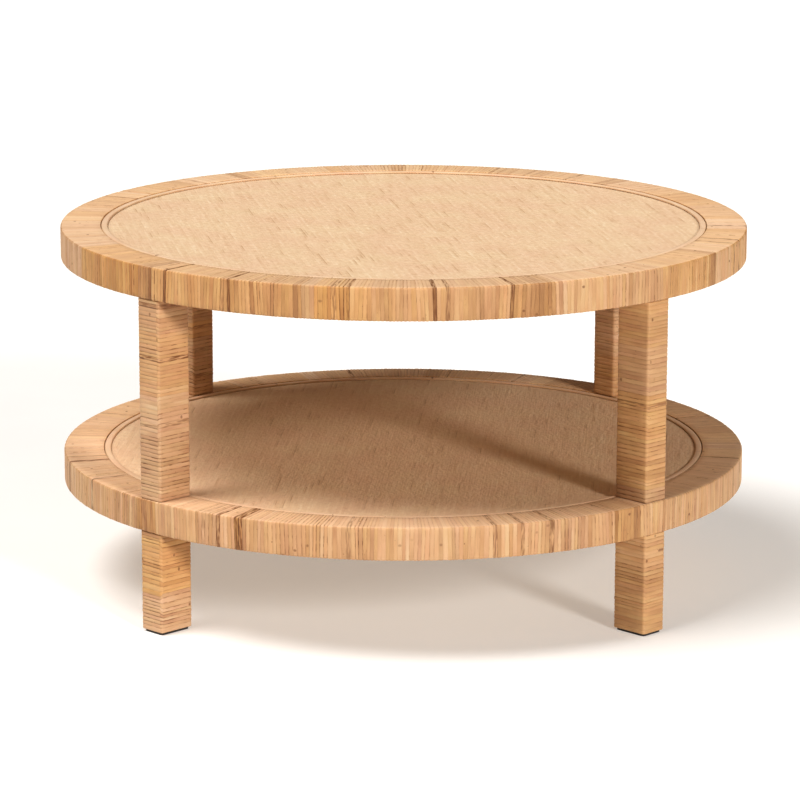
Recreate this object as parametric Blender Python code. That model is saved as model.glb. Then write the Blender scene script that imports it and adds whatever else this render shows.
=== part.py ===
"""Round two-tier coffee table wrapped in split rattan, as an assembly of separate pieces.

Units are metres and +Z is up. The origin is on the floor under the table's centre, and the front
of the table faces -Y. Each deck is a ring of four wooden segments that carries a plywood panel on
two crossed rails. A woven mat lies on the panel, a bead covers the mat's edge, and strips of split
rattan wrap the ring. Four wrapped wooden posts run through the shelf deck up to the top deck.
"""

import math

import bmesh
import bpy
from mathutils import Matrix

# Driving dimensions
TABLE_HEIGHT = 0.472
TABLE_RADIUS = 0.450
SHELF_HEIGHT = 0.1735  # upper face of the shelf's rim
DECK_THICKNESS = 0.042
RIM_WIDTH = 0.0526  # flat upper face of the wrapped rim
BEAD_WIDTH = 0.0098
WRAP = 0.0025  # thickness of the rattan wrapping
GAP = 0.0003  # between pieces that touch

RING_INNER = 0.385
RING_CORNER = 0.003  # outer edges of the wrapped rim
RING_STEP = 5.0  # degrees from one facet of a ring to the next
LAP_ANGLE = 10.0  # degrees of overlap where two segments are half-lapped

MAT_RECESS = 0.003  # the mat's surface lies this far below the rim
MAT_THICKNESS = 0.002
MAT_EDGE_THICKNESS = 0.0012  # where the bead presses it down
PANEL_THICKNESS = 0.009
BEAD_BELOW_RIM = 0.0001
BEAD_STEPS = 6

RAIL_WIDTH = 0.040
RAIL_DEPTH = 0.022
RAIL_HOUSING = 0.010  # how far a rail's end is let into the ring

LEG_WIDTH = 0.0385  # across, over the wrapping
LEG_DEPTH = 0.052  # towards the table's centre, over the wrapping
LEG_INSET = 0.002  # the leg's outer face lies this far inside the rim's
LEG_CORNER = 0.0035
POST_CORNER = 0.0015
CORNER_STEPS = 2

GLIDE_HEIGHT = 0.003
GLIDE_INSET = 0.003  # the glide is this much smaller than the wrapped leg, all round

SCREW_RADIUS = 0.0025
SCREW_LENGTH = 0.075
SCREW_HEAD_RADIUS = 0.0045
SCREW_HEAD_HEIGHT = 0.003
NAIL_RADIUS = 0.0012
NAIL_LENGTH = 0.021
NAIL_HEAD_RADIUS = 0.005
NAIL_HEAD_HEIGHT = 0.001
HEAD_SINK = 0.0004  # heads sit this far below the face around them
DOWEL_RADIUS = 0.004
DOWEL_IN_POST = 0.0145
DOWEL_IN_SEGMENT = 0.025
DOWEL_CHAMFER = 0.001
FASTENER_SIDES = 12

# Worked out from them. Deck heights are below the deck's upper face.
RING_OUTER = TABLE_RADIUS - WRAP - GAP
RING_TOP = -WRAP - GAP
RING_BOTTOM = -DECK_THICKNESS + WRAP + GAP
RING_MIDDLE = (RING_TOP + RING_BOTTOM) / 2
RING_SIDES = round(360.0 / RING_STEP)
REBATE_RADIUS = TABLE_RADIUS - RIM_WIDTH
PANEL_RADIUS = REBATE_RADIUS - GAP
MAT_RADIUS = REBATE_RADIUS - BEAD_WIDTH  # of the mat's full thickness, inside the bead
MAT_BOTTOM = -MAT_RECESS - MAT_THICKNESS
MAT_EDGE = MAT_BOTTOM + MAT_EDGE_THICKNESS
PANEL_TOP = MAT_BOTTOM - GAP
LEDGE = PANEL_TOP - PANEL_THICKNESS - GAP
RAIL_BOTTOM = LEDGE - RAIL_DEPTH
RAIL_MIDDLE = LEDGE - RAIL_DEPTH / 2
HOUSING_RADIUS = RING_INNER + RAIL_HOUSING

POST_WIDTH = LEG_WIDTH - 2 * WRAP
POST_DEPTH = LEG_DEPTH - 2 * WRAP
LEG_CENTRE = TABLE_RADIUS - LEG_INSET - LEG_DEPTH / 2
POST_BOTTOM = GLIDE_HEIGHT + GAP
POST_TOP = TABLE_HEIGHT + RING_BOTTOM - GAP
DOWEL_CENTRE = (RING_INNER + RING_OUTER) / 2
DOWEL_START = POST_WIDTH / 2 - DOWEL_IN_POST
DOWEL_LENGTH = DOWEL_IN_POST + DOWEL_IN_SEGMENT

OVERSHOOT = 0.002  # a cutter reaches this far past the face it opens

SIDES = {"right": 0.0, "back": 90.0, "left": 180.0, "front": 270.0}
CORNERS = {"back_right": 45.0, "back_left": 135.0, "front_left": 225.0, "front_right": 315.0}


def clear_scene():
    for item in list(bpy.data.objects):
        bpy.data.objects.remove(item)


def make_material(name, colour, roughness, metallic=0.0):
    material = bpy.data.materials.new(name)
    material.use_nodes = True
    shader = material.node_tree.nodes["Principled BSDF"]
    shader.inputs["Base Color"].default_value = (*colour, 1.0)
    shader.inputs["Roughness"].default_value = roughness
    shader.inputs["Metallic"].default_value = metallic
    return material


def make_materials():
    """Materials of the real pieces, by the kind of piece."""
    return {
        "strip": make_material("rattan_strip", (0.66, 0.38, 0.16), 0.55),
        "mat": make_material("woven_rattan", (0.76, 0.53, 0.31), 0.65),
        "bead": make_material("rattan_bead", (0.70, 0.43, 0.20), 0.50),
        "frame": make_material("frame_wood", (0.55, 0.36, 0.19), 0.70),
        "panel": make_material("plywood", (0.60, 0.43, 0.25), 0.75),
        "dowel": make_material("dowel_wood", (0.62, 0.44, 0.26), 0.60),
        "steel": make_material("fastener_steel", (0.48, 0.48, 0.50), 0.35, 1.0),
        "glide": make_material("glide_plastic", (0.035, 0.028, 0.024), 0.50),
    }


def add_empty(name, height=0.0, turn=0.0):
    """An empty that carries a sub-assembly: a deck, or one leg with what holds it."""
    empty = bpy.data.objects.new(name, None)
    empty.location.z = height
    empty.rotation_euler.z = math.radians(turn)
    bpy.context.collection.objects.link(empty)
    return empty


def add_object(name, mesh, parent=None, turn=0.0):
    item = bpy.data.objects.new(name, mesh)
    item.parent = parent
    item.rotation_euler.z = math.radians(turn)
    bpy.context.collection.objects.link(item)
    return item


def finish_mesh(shape, name, material=None):
    """Turns a bmesh into a mesh whose faces point outwards and whose round sides are smooth."""
    shape.normal_update()
    bmesh.ops.recalc_face_normals(shape, faces=shape.faces)
    mesh = bpy.data.meshes.new(name)
    shape.to_mesh(mesh)
    shape.free()
    if material:
        mesh.materials.append(material)
    mesh.shade_smooth()
    mesh.set_sharp_from_angle(angle=math.radians(30))
    return mesh


def subtract(mesh, cutters):
    """The mesh less every cutter mesh, with each cutter taken where it was modelled."""
    body = add_object("body", mesh)
    guides = []
    for cutter in cutters:
        guide = add_object("cutter", cutter)
        guide.hide_render = True
        guide.display_type = "WIRE"
        guides.append(guide)
        boolean = body.modifiers.new("cut", "BOOLEAN")
        boolean.object = guide
        boolean.solver = "EXACT"
    graph = bpy.context.evaluated_depsgraph_get()
    result = bpy.data.meshes.new_from_object(body.evaluated_get(graph))
    result.name = mesh.name
    for item in [body, *guides]:
        bpy.data.objects.remove(item)
    return result


def bridge(shape, loop, following):
    """Faces between two loops of as many vertices."""
    for i in range(len(loop)):
        j = (i + 1) % len(loop)
        shape.faces.new((loop[i], loop[j], following[j], following[i]))


def ring_angles(start, end):
    """Angles of a sector's rows: its two ends, and every multiple of RING_STEP between them."""
    first = math.floor(start / RING_STEP) + 1
    last = math.ceil(end / RING_STEP) - 1
    return [start] + [RING_STEP * i for i in range(first, last + 1)] + [end]


def swept_ring(profile, start=0.0, end=360.0):
    """Sweeps a closed (radius, height) profile about Z, all the way round or from start to end."""
    shape = bmesh.new()
    closed = end - start == 360.0
    angles = ring_angles(start, end)
    if closed:
        angles.pop()
    loops = []
    for angle in angles:
        cosine = math.cos(math.radians(angle))
        sine = math.sin(math.radians(angle))
        loops.append([shape.verts.new((r * cosine, r * sine, z)) for r, z in profile])
    for loop, following in zip(loops, loops[1:]):
        bridge(shape, loop, following)
    if closed:
        bridge(shape, loops[-1], loops[0])
    else:
        shape.faces.new(loops[0])
        shape.faces.new(loops[-1])
    return shape


def turned(circles, sides):
    """A solid turned about Z from (radius, height) circles, closed by flat ends."""
    shape = bmesh.new()
    loops = []
    for radius, height in circles:
        angles = [2 * math.pi * i / sides for i in range(sides)]
        loops.append(
            [shape.verts.new((radius * math.cos(a), radius * math.sin(a), height)) for a in angles]
        )
    for loop, following in zip(loops, loops[1:]):
        bridge(shape, loop, following)
    shape.faces.new(loops[0])
    shape.faces.new(loops[-1])
    return shape


def rounded_rectangle(depth, width, radius):
    """Corner-rounded rectangle about the leg's centre line, as (x, y) points."""
    points = []
    for quarter, (sx, sy) in enumerate([(1, 1), (-1, 1), (-1, -1), (1, -1)]):
        for i in range(CORNER_STEPS + 1):
            angle = math.pi / 2 * (quarter + i / CORNER_STEPS)
            x = sx * (depth / 2 - radius) + radius * math.cos(angle)
            y = sy * (width / 2 - radius) + radius * math.sin(angle)
            points.append((LEG_CENTRE + x, y))
    return points


def outline_loop(shape, outline, height):
    return [shape.verts.new((x, y, height)) for x, y in outline]


def prism(outline, low, high):
    """A solid with the outline's shape from one height to the other."""
    shape = bmesh.new()
    bottom = outline_loop(shape, outline, low)
    top = outline_loop(shape, outline, high)
    bridge(shape, bottom, top)
    shape.faces.new(bottom)
    shape.faces.new(top)
    return shape


def tube(outer, inner, low, high):
    """A wall between two outlines of as many points, open at both ends."""
    shape = bmesh.new()
    loops = [
        outline_loop(shape, outer, low),
        outline_loop(shape, outer, high),
        outline_loop(shape, inner, high),
        outline_loop(shape, inner, low),
    ]
    for i, loop in enumerate(loops):
        bridge(shape, loop, loops[(i + 1) % len(loops)])
    return shape


def box(low, high):
    """A box from its lowest to its highest corner."""
    shape = bmesh.new()
    bmesh.ops.create_cube(shape, size=1.0)
    size = [b - a for a, b in zip(low, high)]
    centre = [(a + b) / 2 for a, b in zip(low, high)]
    shape.transform(Matrix.Translation(centre) @ Matrix.Diagonal((*size, 1.0)))
    return shape


def turned_mesh(shape, angle, name):
    """A cutter's mesh, turned about the table's axis to where it cuts."""
    shape.transform(Matrix.Rotation(math.radians(angle), 4, "Z"))
    return finish_mesh(shape, name)


# Decks


def ring_profile():
    """The ring's section, with the rebate that holds the panel."""
    return [
        (RING_INNER, RING_BOTTOM),
        (RING_OUTER, RING_BOTTOM),
        (RING_OUTER, RING_TOP),
        (REBATE_RADIUS, RING_TOP),
        (REBATE_RADIUS, LEDGE),
        (RING_INNER, LEDGE),
    ]


def rail_housing_cutter():
    low = (RING_INNER - OVERSHOOT, -RAIL_WIDTH / 2 - GAP, RAIL_BOTTOM - GAP)
    high = (HOUSING_RADIUS, RAIL_WIDTH / 2 + GAP, LEDGE + OVERSHOOT)
    return finish_mesh(box(low, high), "rail_housing")


def lap_cutter(start, end, low, high):
    """A sector of the ring's full width, between two heights."""
    inner = RING_INNER - OVERSHOOT
    outer = RING_OUTER + OVERSHOOT
    profile = [(inner, low), (outer, low), (outer, high), (inner, high)]
    return finish_mesh(swept_ring(profile, start, end), "lap")


def screw_hole_cutter(angle):
    """The clearance hole and head recess of a leg screw, in deck heights."""
    shank = SCREW_RADIUS + GAP
    head = SCREW_HEAD_RADIUS + GAP
    seat = RING_TOP - HEAD_SINK - SCREW_HEAD_HEIGHT - GAP
    circles = [
        (shank, RING_BOTTOM - OVERSHOOT),
        (shank, seat),
        (head, seat),
        (head, RING_TOP + OVERSHOOT),
    ]
    shape = turned(circles, FASTENER_SIDES)
    shape.transform(Matrix.Translation((LEG_CENTRE, 0.0, 0.0)))
    return turned_mesh(shape, angle, "screw_hole")


def lapped_segment_mesh(material):
    """A quarter of the top ring. Its ends are half-lapped over the legs: the upper half is cut
    from one end and the lower half from the other, and the leg screws pass through both."""
    clearance = math.degrees(GAP / RING_INNER) / 2
    lap_start = 45.0 - LAP_ANGLE / 2 - clearance
    lap_end = 45.0 + LAP_ANGLE / 2 - clearance
    past_end = lap_end + 1.0
    above = RING_TOP + OVERSHOOT
    below = RING_BOTTOM - OVERSHOOT
    cutters = [
        lap_cutter(lap_start, past_end, RING_MIDDLE - GAP / 2, above),
        lap_cutter(-past_end, -lap_start, below, RING_MIDDLE + GAP / 2),
        screw_hole_cutter(45.0),
        screw_hole_cutter(-45.0),
        rail_housing_cutter(),
    ]
    sector = swept_ring(ring_profile(), -lap_end, lap_end)
    return subtract(finish_mesh(sector, "lapped_segment", material), cutters)


def leg_socket_cutter(angle, low, high, depth=POST_DEPTH):
    """A box that leaves clearance all round a leg's post."""
    inner = LEG_CENTRE - depth / 2 - GAP
    outer = LEG_CENTRE + depth / 2 + GAP
    side = POST_WIDTH / 2 + GAP
    return turned_mesh(box((inner, -side, low), (outer, side, high)), angle, "leg_socket")


def dowel_hole_cutter(angle, side, height):
    """The hole of a shelf dowel, across a leg's side face. side is 1 or -1."""
    radius = DOWEL_RADIUS + GAP
    shape = turned([(radius, -GAP), (radius, DOWEL_LENGTH + GAP)], FASTENER_SIDES)
    shape.transform(dowel_placement(side, height))
    return turned_mesh(shape, angle, "dowel_hole")


def dowel_placement(side, height):
    """Lays a dowel across the post's side face, in the leg's own frame."""
    lay = Matrix.Rotation(math.radians(-90.0 * side), 4, "X")
    return Matrix.Translation((DOWEL_CENTRE, side * DOWEL_START, height)) @ lay


def butted_segment_mesh(material):
    """A quarter of the shelf ring. It ends at the side faces of two legs, dowelled to each."""
    full_width = 2 * (LEG_CENTRE - RING_INNER + OVERSHOOT)
    low = RING_BOTTOM - OVERSHOOT
    high = RING_TOP + OVERSHOOT
    cutters = [
        leg_socket_cutter(45.0, low, high, full_width),
        leg_socket_cutter(-45.0, low, high, full_width),
        dowel_hole_cutter(45.0, -1, RING_MIDDLE),
        dowel_hole_cutter(-45.0, 1, RING_MIDDLE),
        rail_housing_cutter(),
    ]
    sector = swept_ring(ring_profile(), -45.0, 45.0)
    return subtract(finish_mesh(sector, "butted_segment", material), cutters)


def rim_profile():
    """The wrapping's section: over the ring, down its outer face and back underneath."""
    steps = [math.pi / 2 * i / CORNER_STEPS for i in range(CORNER_STEPS + 1)]
    centre = TABLE_RADIUS - RING_CORNER
    upper = [
        (centre + RING_CORNER * math.sin(a), -RING_CORNER + RING_CORNER * math.cos(a))
        for a in steps
    ]
    lower = [(radius, -DECK_THICKNESS - height) for radius, height in reversed(upper)]
    inside = [
        (RING_INNER, -DECK_THICKNESS),
        (RING_INNER, -DECK_THICKNESS + WRAP),
        (TABLE_RADIUS - WRAP, -DECK_THICKNESS + WRAP),
        (TABLE_RADIUS - WRAP, -WRAP),
        (REBATE_RADIUS, -WRAP),
    ]
    return [(REBATE_RADIUS, 0.0)] + upper + lower + inside


def rim_wrap_mesh(material, passed_through):
    """The wrapping of a deck's ring, with a socket for each post. The posts of the shelf pass
    through it, and those of the top stop under the ring."""
    high = OVERSHOOT if passed_through else RING_MIDDLE
    low = -DECK_THICKNESS - OVERSHOOT
    cutters = [leg_socket_cutter(angle, low, high) for angle in CORNERS.values()]
    return subtract(finish_mesh(swept_ring(rim_profile()), "rim_wrap", material), cutters)


def panel_mesh(material):
    """The round plywood sheet that lies on the ring's ledge and the rails."""
    circles = [(PANEL_RADIUS, PANEL_TOP - PANEL_THICKNESS), (PANEL_RADIUS, PANEL_TOP)]
    return finish_mesh(turned(circles, RING_SIDES), "panel", material)


def mat_mesh(material):
    """The woven mat, thinner at its edge, where the bead holds it down."""
    circles = [
        (PANEL_RADIUS, MAT_BOTTOM),
        (PANEL_RADIUS, MAT_EDGE),
        (MAT_RADIUS, MAT_EDGE),
        (MAT_RADIUS, -MAT_RECESS),
    ]
    return finish_mesh(turned(circles, RING_SIDES), "mat", material)


def bead_mesh(material):
    """A half-round bead that covers the edge of the mat."""
    half = BEAD_WIDTH / 2 - GAP
    centre = REBATE_RADIUS - BEAD_WIDTH / 2
    base = MAT_EDGE + GAP
    height = -BEAD_BELOW_RIM - base
    angles = [math.pi * i / BEAD_STEPS for i in range(BEAD_STEPS + 1)]
    profile = [(centre + half * math.cos(a), base + height * math.sin(a)) for a in angles]
    return finish_mesh(swept_ring(profile), "bead", material)


def rail_mesh(notch_low, notch_high, material):
    """A rail along X, half-lapped at its middle between two heights."""
    half_length = HOUSING_RADIUS - GAP
    half_width = RAIL_WIDTH / 2
    rail = box((-half_length, -half_width, RAIL_BOTTOM), (half_length, half_width, LEDGE))
    low = (-half_width - GAP, -half_width - OVERSHOOT, notch_low)
    high = (half_width + GAP, half_width + OVERSHOOT, notch_high)
    notch = finish_mesh(box(low, high), "rail_notch")
    return subtract(finish_mesh(rail, "rail", material), [notch])


def add_deck(prefix, height, segment, wrap, materials):
    """One deck: ring, rails, panel, mat, bead and wrapping."""
    deck = add_empty(prefix + "_deck", height)
    for side, angle in SIDES.items():
        add_object(f"{prefix}_ring_segment_{side}", segment, deck, angle)
    over = rail_mesh(RAIL_BOTTOM - OVERSHOOT, RAIL_MIDDLE + GAP / 2, materials["frame"])
    under = rail_mesh(RAIL_MIDDLE - GAP / 2, LEDGE + OVERSHOOT, materials["frame"])
    add_object(prefix + "_rail_left_right", under, deck)
    add_object(prefix + "_rail_front_back", over, deck, 90.0)
    add_object(prefix + "_panel", panel_mesh(materials["panel"]), deck)
    add_object(prefix + "_woven_mat", mat_mesh(materials["mat"]), deck)
    add_object(prefix + "_bead_ring", bead_mesh(materials["bead"]), deck)
    add_object(prefix + "_rim_wrap", wrap, deck)


# Legs


def post_mesh(material):
    """A leg's wooden post, with holes for its top screw, its glide nail and two shelf dowels."""
    outline = rounded_rectangle(POST_DEPTH, POST_WIDTH, POST_CORNER)
    screw_end = TABLE_HEIGHT + RING_TOP - HEAD_SINK - SCREW_LENGTH
    nail_end = HEAD_SINK + NAIL_LENGTH
    shelf_middle = SHELF_HEIGHT + RING_MIDDLE
    cutters = [
        hole_cutter(SCREW_RADIUS, screw_end - GAP, POST_TOP + OVERSHOOT),
        hole_cutter(NAIL_RADIUS, POST_BOTTOM - OVERSHOOT, nail_end + GAP),
        dowel_hole_cutter(0.0, 1, shelf_middle),
        dowel_hole_cutter(0.0, -1, shelf_middle),
    ]
    return subtract(finish_mesh(prism(outline, POST_BOTTOM, POST_TOP), "post", material), cutters)


def hole_cutter(radius, low, high):
    """A hole along the leg's centre line that clears a shank."""
    shape = turned([(radius + GAP, low), (radius + GAP, high)], FASTENER_SIDES)
    shape.transform(Matrix.Translation((LEG_CENTRE, 0.0, 0.0)))
    return finish_mesh(shape, "hole")


def leg_wrap_mesh(low, high, material):
    """The wrapping round a post between two heights."""
    outer = rounded_rectangle(LEG_DEPTH, LEG_WIDTH, LEG_CORNER)
    inner = rounded_rectangle(POST_DEPTH + 2 * GAP, POST_WIDTH + 2 * GAP, POST_CORNER)
    return finish_mesh(tube(outer, inner, low, high), "leg_wrap", material)


def glide_mesh(material):
    """The flat pad under a post. Its nail's head sits in a recess that is open to the floor."""
    depth = LEG_DEPTH - 2 * GLIDE_INSET
    width = LEG_WIDTH - 2 * GLIDE_INSET
    pad = prism(rounded_rectangle(depth, width, LEG_CORNER), 0.0, GLIDE_HEIGHT)
    seat = HEAD_SINK + NAIL_HEAD_HEIGHT + GAP
    shank = NAIL_RADIUS + GAP
    head = NAIL_HEAD_RADIUS + GAP
    circles = [(head, -OVERSHOOT), (head, seat), (shank, seat), (shank, GLIDE_HEIGHT + OVERSHOOT)]
    recess = turned(circles, FASTENER_SIDES)
    recess.transform(Matrix.Translation((LEG_CENTRE, 0.0, 0.0)))
    return subtract(finish_mesh(pad, "glide", material), [finish_mesh(recess, "recess")])


def nail_mesh(material):
    """A glide's nail, head down on the leg's centre line."""
    head_top = HEAD_SINK + NAIL_HEAD_HEIGHT
    circles = [
        (NAIL_HEAD_RADIUS, HEAD_SINK),
        (NAIL_HEAD_RADIUS, head_top),
        (NAIL_RADIUS, head_top),
        (NAIL_RADIUS, HEAD_SINK + NAIL_LENGTH),
    ]
    shape = turned(circles, FASTENER_SIDES)
    shape.transform(Matrix.Translation((LEG_CENTRE, 0.0, 0.0)))
    return finish_mesh(shape, "nail", material)


def screw_mesh(material):
    """The screw that holds the top ring's lapped ends down on a post."""
    head_top = TABLE_HEIGHT + RING_TOP - HEAD_SINK
    head_bottom = head_top - SCREW_HEAD_HEIGHT
    circles = [
        (SCREW_RADIUS, head_top - SCREW_LENGTH),
        (SCREW_RADIUS, head_bottom),
        (SCREW_HEAD_RADIUS, head_bottom),
        (SCREW_HEAD_RADIUS, head_top),
    ]
    shape = turned(circles, FASTENER_SIDES)
    shape.transform(Matrix.Translation((LEG_CENTRE, 0.0, 0.0)))
    return finish_mesh(shape, "screw", material)


def dowel_mesh(side, material):
    """A chamfered dowel between a post and the shelf segment on one side of it."""
    tip = DOWEL_RADIUS - DOWEL_CHAMFER
    circles = [
        (tip, 0.0),
        (DOWEL_RADIUS, DOWEL_CHAMFER),
        (DOWEL_RADIUS, DOWEL_LENGTH - DOWEL_CHAMFER),
        (tip, DOWEL_LENGTH),
    ]
    shape = turned(circles, FASTENER_SIDES)
    shape.transform(dowel_placement(side, SHELF_HEIGHT + RING_MIDDLE))
    return finish_mesh(shape, "dowel", material)


def add_legs(materials):
    """Four legs, each with its wrapping, glide, nail, screw and dowels. A dowel is named after
    the leg and the shelf segment that it joins."""
    under_top = TABLE_HEIGHT - DECK_THICKNESS - GAP
    under_shelf = SHELF_HEIGHT - DECK_THICKNESS - GAP
    strip = materials["strip"]
    pieces = {
        "leg_post": post_mesh(materials["frame"]),
        "leg_wrap_upper": leg_wrap_mesh(SHELF_HEIGHT + GAP, under_top, strip),
        "leg_wrap_lower": leg_wrap_mesh(POST_BOTTOM, under_shelf, strip),
        "foot_glide": glide_mesh(materials["glide"]),
        "glide_nail": nail_mesh(materials["steel"]),
        "leg_screw": screw_mesh(materials["steel"]),
    }
    dowels = {side: dowel_mesh(side, materials["dowel"]) for side in (-1, 1)}
    sides_by_angle = {angle: side for side, angle in SIDES.items()}
    for corner, angle in CORNERS.items():
        leg = add_empty("leg_" + corner, 0.0, angle)
        for name, mesh in pieces.items():
            add_object(f"{name}_{corner}", mesh, leg)
        for side, mesh in dowels.items():
            neighbour = sides_by_angle[(angle + side * 45.0) % 360.0]
            add_object(f"shelf_dowel_{corner}_to_{neighbour}", mesh, leg)


def build():
    clear_scene()
    materials = make_materials()
    lapped = lapped_segment_mesh(materials["frame"])
    butted = butted_segment_mesh(materials["frame"])
    top_wrap = rim_wrap_mesh(materials["strip"], passed_through=False)
    shelf_wrap = rim_wrap_mesh(materials["strip"], passed_through=True)
    add_deck("top", TABLE_HEIGHT, lapped, top_wrap, materials)
    add_deck("shelf", SHELF_HEIGHT, butted, shelf_wrap, materials)
    add_legs(materials)


build()
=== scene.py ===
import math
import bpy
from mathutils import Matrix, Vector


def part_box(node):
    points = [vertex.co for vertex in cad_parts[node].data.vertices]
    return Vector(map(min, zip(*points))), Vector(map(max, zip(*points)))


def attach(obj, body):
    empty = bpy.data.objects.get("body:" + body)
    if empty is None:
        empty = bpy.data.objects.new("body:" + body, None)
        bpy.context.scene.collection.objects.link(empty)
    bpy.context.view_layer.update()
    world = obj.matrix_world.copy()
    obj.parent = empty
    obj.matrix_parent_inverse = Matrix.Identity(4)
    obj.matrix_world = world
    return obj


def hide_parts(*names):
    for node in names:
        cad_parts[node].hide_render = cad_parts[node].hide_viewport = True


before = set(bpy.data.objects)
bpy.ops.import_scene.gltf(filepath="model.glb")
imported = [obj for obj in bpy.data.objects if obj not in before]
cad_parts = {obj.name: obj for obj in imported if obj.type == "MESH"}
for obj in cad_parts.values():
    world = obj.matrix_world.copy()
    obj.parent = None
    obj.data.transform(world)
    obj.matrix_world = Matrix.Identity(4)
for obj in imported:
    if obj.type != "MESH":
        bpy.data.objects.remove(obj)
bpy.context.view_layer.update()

# Looks of the round rattan coffee table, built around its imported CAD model. The CAD's rim wraps,
# leg wraps, beads and mats are plain solids. Here each gets its real surface: strips of split
# rattan wound side by side, half-round beads and woven strands. The wood, plywood, plastic and
# steel pieces stay as CAD, with procedural materials. All lengths are metres.

from types import SimpleNamespace

import bmesh
import bpy
import numpy as np
from mathutils import Matrix, Vector

MM = 0.001
BODY = "root"
CORNERS = {"back_right": 45.0, "back_left": 135.0, "front_left": 225.0, "front_right": 315.0}

NEARLY_ONE = 0.9999  # a strip's far edge, so that it keeps the strip's own number

# Split rattan, wound round the rims and the legs. STRIP_SECTION is (place across the strip from 0
# to 1, depth in millimetres).
RIM_STRIPS = 560
LEG_PITCH = 5.2 * MM
WIDTH_SPREAD = 0.12  # how much the strips' widths differ, as a share of the width
WIDTH_LIMIT = 0.3
STRIP_SECTION = [(0.0, -0.75), (0.09, -0.22), (0.28, -0.04), (0.5, 0.0), (0.72, -0.04), (0.91, -0.22)]
CLOSED_GROOVE = 0.4  # how deep a groove with no gap is, as a share of the section's depth
STRIP_LIFT = 0.09 * MM
STRIP_TILT = 0.13 * MM
STRIP_LEAN = 1.4 * MM  # sideways, from a rim's top to its bottom
LEAN_WAVES = 60
SKIN = 0.05 * MM  # how far the strips' middles lie under the CAD's faces
WRAP = 2.5 * MM  # how thick a rim's wrapping is
LEG_WRAP = 0.9 * WRAP
RIM_CORNER = 2.5 * MM
RIM_GAP = 0.4 * MM  # between the bead's ring and the strips
LEG_CORNER = 3.5 * MM
LIP_ROWS = 3
FACE_ROWS = 5
CORNER_ROWS = 4
UNDER_ROWS = 2
LEG_FACE_ROWS = 3
LEG_SLOPE = 1.6 * MM  # how far a leg's turns rise and fall
SLOPE_KNOTS = 9  # places down a leg where the slope changes
HEADING_KNOTS = 5  # and where its direction does
HEADING_LIMIT = 2.0  # radians
LEVEL_SHARE = 12.0  # the turns go level over one part in this many, at each end
JOINT_SPACING = 0.23  # between two joints of the rattan cane, along a strip
JOINT_LENGTH = 2.2 * MM

# How strips differ. Each look is a column of a table, and runs from 0 to 1.
TONE, PALENESS, STAIN, GAP = range(4)
CANE_TURNS = (2, 19)  # how many turns one length of cane makes
CANE_TONE = 0.54  # from 0, dark, to 1, pale
CANE_TONE_SPREAD = 0.13
CANE_TONE_LIMITS = (0.1, 0.95)
CANE_GAPS = (0.0, 0.45)
STRIP_TONE_SPREAD = 0.06
STRIP_PALENESS_SPREAD = 0.04
STRIP_GAPS = (-0.25, 0.3)
STAINED_SHARE = 0.035
STAINS = (0.35, 1.0)
GAPING_SHARE = 0.05
WIDE_GAPS = (0.8, 1.0)
FRESH_SHARE = 0.1  # of the strips start a new length of cane
FRESH_LENGTH = 3.0  # metres, at most, that it has left off
LEG_EVENNESS = 0.7  # a leg's strips differ less in tone than a rim's, as a share
LEG_GAPS = 0.14  # and their gaps are deeper with more painted shade, and their cane paler, by these amounts
LEG_PALENESS = 0.12

# Shades of cane, as (tone, paleness, stain), and where they change round the visible front of
# each rim, as (degrees from +X, shade)
SHADES = {
    "umber": (0.15, 0.30, 1.0),
    "brown": (0.36, 0.40, 0.1),
    "tan": (0.48, 0.40, 0.0),
    "orange": (0.50, 0.08, 0.0),
    "honey": (0.57, 0.38, 0.0),
    "straw": (0.48, 0.60, 0.0),
    "sand": (0.53, 0.76, 0.0),
    "pink": (0.55, 0.85, 0.0),
    "cream": (0.60, 0.70, 0.0),
}
TOP_BANDS = [
    (180, "pink"), (204, "orange"), (223, "brown"), (226, "honey"), (228.4, "umber"), (229, "tan"),
    (241.4, "umber"), (242, "tan"), (249, "brown"), (254, "pink"), (256, "orange"), (262, "honey"),
    (265, "straw"), (275, "umber"), (275.7, "straw"), (287.2, "umber"), (288, "brown"), (294, "cream"),
    (315, "tan"), (319, "honey"), (329, "brown"), (331, "cream"), (338, "honey"),
]
SHELF_BANDS = [
    (180, "pink"), (200, "cream"), (216, "sand"), (223, "brown"), (227, "sand"), (243, "umber"),
    (243.7, "sand"), (270, "pink"), (279, "cream"), (293, "sand"), (306, "brown"), (311, "cream"),
    (316, "sand"),
]
BANDS_END = 348
BAND_TONE_SPREAD = 0.08
BAND_PALENESS_SPREAD = 0.06

# Beads
BEAD_SIDES = 14
BEAD_STEPS = 720
BEAD_CLEARANCE = 0.1 * MM
BEAD_FULLNESS = 0.4  # power of the sine that gives the section: 1 is an ellipse, less is boxier
BEAD_SWELL = 0.01  # how its width varies
BEAD_HEIGHT = 0.95  # as a share of the CAD ring's
BEAD_WAVINESS = 0.03
SWELL_WAVES = 60
HEIGHT_WAVES = 40
BEAD_LOOKS_AND_HIGHLIGHT = (0.74, 0.88, 0.0, 0.0)  # tone, paleness, stain and gap; the high tone and paleness are partly the cane's and partly a painted highlight
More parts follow.
